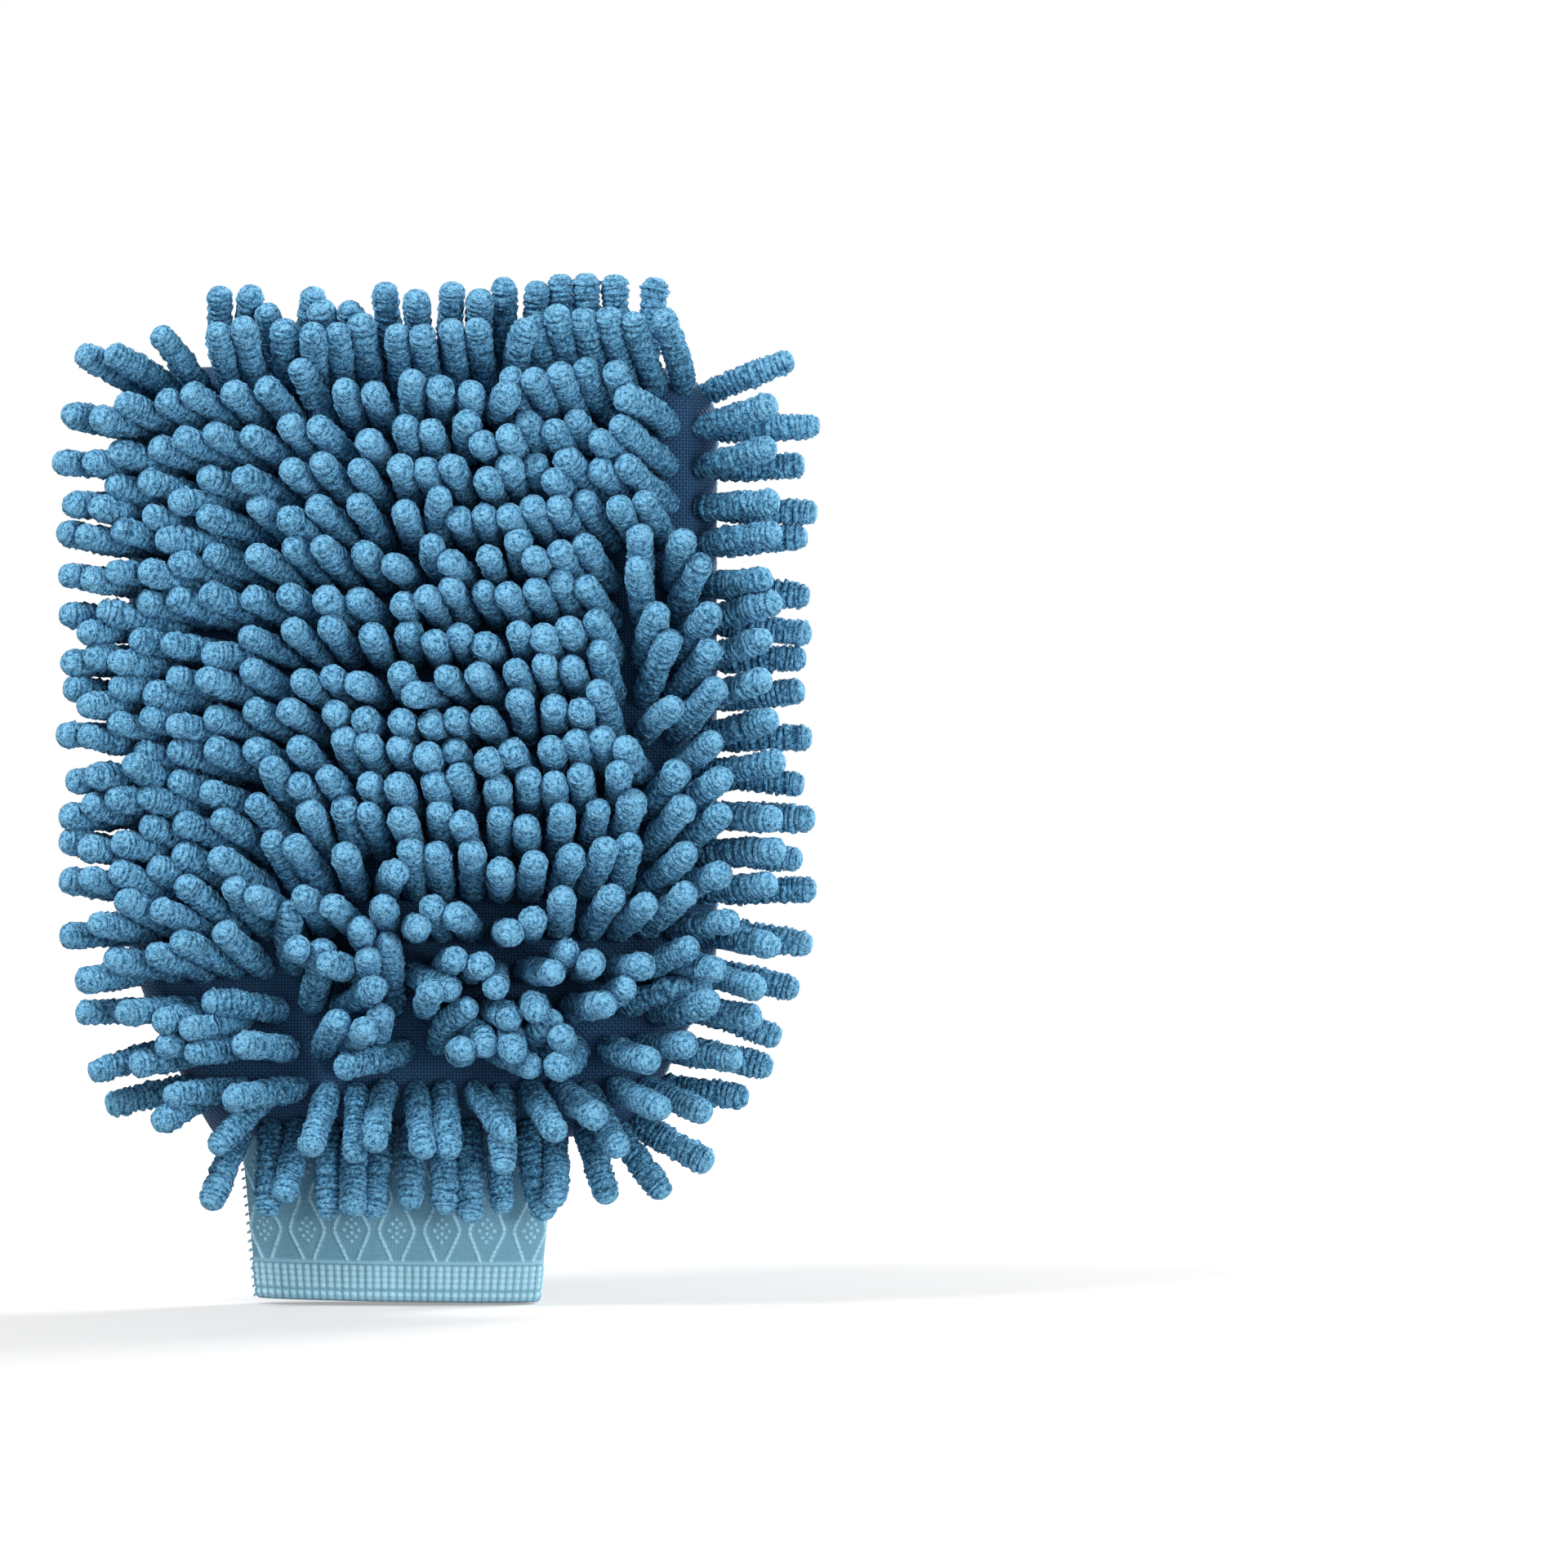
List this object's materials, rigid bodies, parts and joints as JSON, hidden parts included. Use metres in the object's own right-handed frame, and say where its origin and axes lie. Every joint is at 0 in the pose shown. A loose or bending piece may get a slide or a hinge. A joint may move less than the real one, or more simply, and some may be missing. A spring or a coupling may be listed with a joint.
{
  "type": "wash mitt",
  "caption": "Hand-worn wash mitt with long chenille noodles on the front, a looped terry back and a knitted elastic cuff.",
  "frame": {"origin": "centre of the cuff's mouth, in the plane of its lower edge", "axes": "+Z from the cuff to the fingertips, -Y the chenille face, +Y the terry back, +X to the right seen from the chenille side"},
  "size_m": [0.209, 0.055, 0.2879],
  "materials": {
    "chenille": "matte chenille microfibre yarn, steel blue",
    "ground_cloth": "matte plain weave, dark blue",
    "terry": "matte looped microfibre terry in fine vertical ribs, bright blue",
    "cuff_knit": "elastic jacquard knit with raised lozenges, pale grey-blue",
    "cuff_thread": "overlock sewing thread, pale blue",
    "sewing_thread": "overlock sewing thread, blue",
    "rubber_yarn": "covered rubber yarn, pale grey"
  },
  "bodies": {
    "root": {"chenille_ground_cloth": "ground_cloth", "cuff_band": "cuff_knit", "cuff_elastic_yarns": "rubber_yarn", "cuff_join_thread": "sewing_thread", "cuff_side_seam_thread": "cuff_thread", "noodle_row_01": "chenille", "noodle_row_02": "chenille", "noodle_row_03": "chenille", "noodle_row_04": "chenille", "noodle_row_05": "chenille", "noodle_row_06": "chenille", "noodle_row_07": "chenille", "noodle_row_08": "chenille", "noodle_row_09": "chenille", "noodle_row_10": "chenille", "noodle_row_11": "chenille", "noodle_row_12": "chenille", "noodle_row_13": "chenille", "noodle_row_14": "chenille", "noodle_row_15": "chenille", "noodle_row_16": "chenille", "noodle_row_17": "chenille", "noodle_row_18": "chenille", "noodle_row_19": "chenille", "noodle_row_20": "chenille", "noodle_row_21": "chenille", "panel_seam_thread": "sewing_thread", "terry_back_panel": "terry"}
  },
  "joints": []
}
